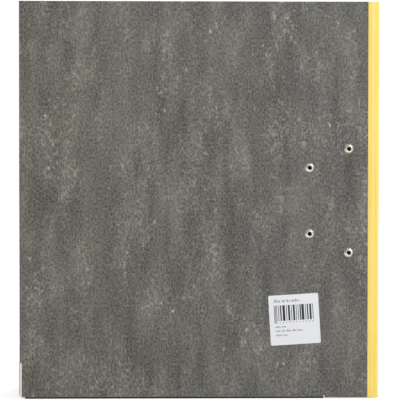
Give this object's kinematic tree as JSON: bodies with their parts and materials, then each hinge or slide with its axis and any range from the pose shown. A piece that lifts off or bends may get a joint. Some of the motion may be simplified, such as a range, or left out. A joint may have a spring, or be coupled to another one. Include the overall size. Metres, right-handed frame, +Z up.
{
  "type": "lever arch file",
  "caption": "A4 lever arch file with marbled paper covers, yellow spine, finger ring, edge rails, posts, arches, roller lever and sliding compressor bar.",
  "frame": {"origin": "on the ground under the middle of the closed, upright file", "axes": "+Z up, +X towards the spine, -Y the outside of the back cover that carries the mechanism, +Y the outside of the front cover"},
  "size_m": [0.2897, 0.0815, 0.318],
  "materials": {
    "marble_paper": "cloud-marbled grey paper, slightly glossy",
    "spine_paper": "plain yellow paper, slightly glossy",
    "lining_paper": "plain pale grey paper, matt",
    "grey_board": "grey board, matt",
    "label_paper": "white paper, smooth",
    "black_plastic": "moulded, fine grain",
    "rail_steel": "nickel-plated strip, dark",
    "spring_steel": "blued spring steel",
    "nickel_steel": "bright nickel plate"
  },
  "bodies": {
    "back_cover": {"back_board": "grey_board", "back_marble_paper": "marble_paper", "back_spine_paper_lap": "spine_paper", "back_lining": "lining_paper", "back_edge_rail": "rail_steel", "back_corner_guard": "nickel_steel", "rear_fold": "spine_paper", "barcode_sticker": "label_paper", "hollow_rivet_1": "nickel_steel", "hollow_rivet_2": "nickel_steel", "hollow_rivet_3": "nickel_steel", "hollow_rivet_4": "nickel_steel", "base_plate": "nickel_steel", "leaf_spring": "spring_steel", "spring_rivet": "nickel_steel", "lever_pin": "nickel_steel", "lower_post": "nickel_steel", "upper_post": "nickel_steel"},
    "spine": {"spine_board": "grey_board", "spine_cover": "spine_paper", "spine_lining": "lining_paper", "spine_label": "label_paper", "finger_ring": "nickel_steel", "finger_ring_washer": "nickel_steel"},
    "front_cover": {"front_board": "grey_board", "front_marble_paper": "marble_paper", "front_spine_paper_lap": "spine_paper", "front_lining": "lining_paper", "front_edge_rail": "rail_steel", "front_corner_guard": "nickel_steel", "front_fold": "spine_paper", "lower_slot_eyelet": "nickel_steel", "upper_slot_eyelet": "nickel_steel"},
    "lever": {"lever": "nickel_steel", "lever_grip": "black_plastic", "roller_axle": "nickel_steel"},
    "roller": {"roller": "nickel_steel"},
    "arches": {"arch_wire": "nickel_steel"},
    "compressor": {"compressor_bar": "nickel_steel", "lower_compressor_guide": "black_plastic", "upper_compressor_guide": "black_plastic"}
  },
  "joints": [
    {"name": "spine_turn", "type": "hinge", "parent": "back_cover", "child": "spine", "pos_m": [0.14306, -0.03886, 0.159], "axis": [0, 0, -1], "range_deg": [0, 90], "deforming": ["rear_fold"]},
    {"name": "cover_turn", "type": "hinge", "parent": "spine", "child": "front_cover", "pos_m": [0.14306, 0.03886, 0.159], "axis": [0, 0, -1], "range_deg": [0, 180], "deforming": ["front_fold"]},
    {"name": "lever_turn", "type": "hinge", "parent": "back_cover", "child": "lever", "pos_m": [0.1007, -0.021, 0.1587], "axis": [0, 0, 1], "range_deg": [0, 45]},
    {"name": "arch_turn", "type": "hinge", "parent": "back_cover", "child": "arches", "pos_m": [0.1102, -0.032, 0.1587], "axis": [0, 0, -1], "range_deg": [0, 34]},
    {"name": "roller_spin", "type": "hinge", "parent": "lever", "child": "roller", "pos_m": [0.1037, -0.0262, 0.1587], "axis": [0, 0, 1], "continuous": true},
    {"name": "compressor_slide", "type": "slide", "parent": "back_cover", "child": "compressor", "axis": [0, 1, 0], "range_m": [0, 0.036]}
  ],
  "couplings": [
    {"joint": "arch_turn", "follows": "lever_turn", "ratio": 0.75555}
  ]
}
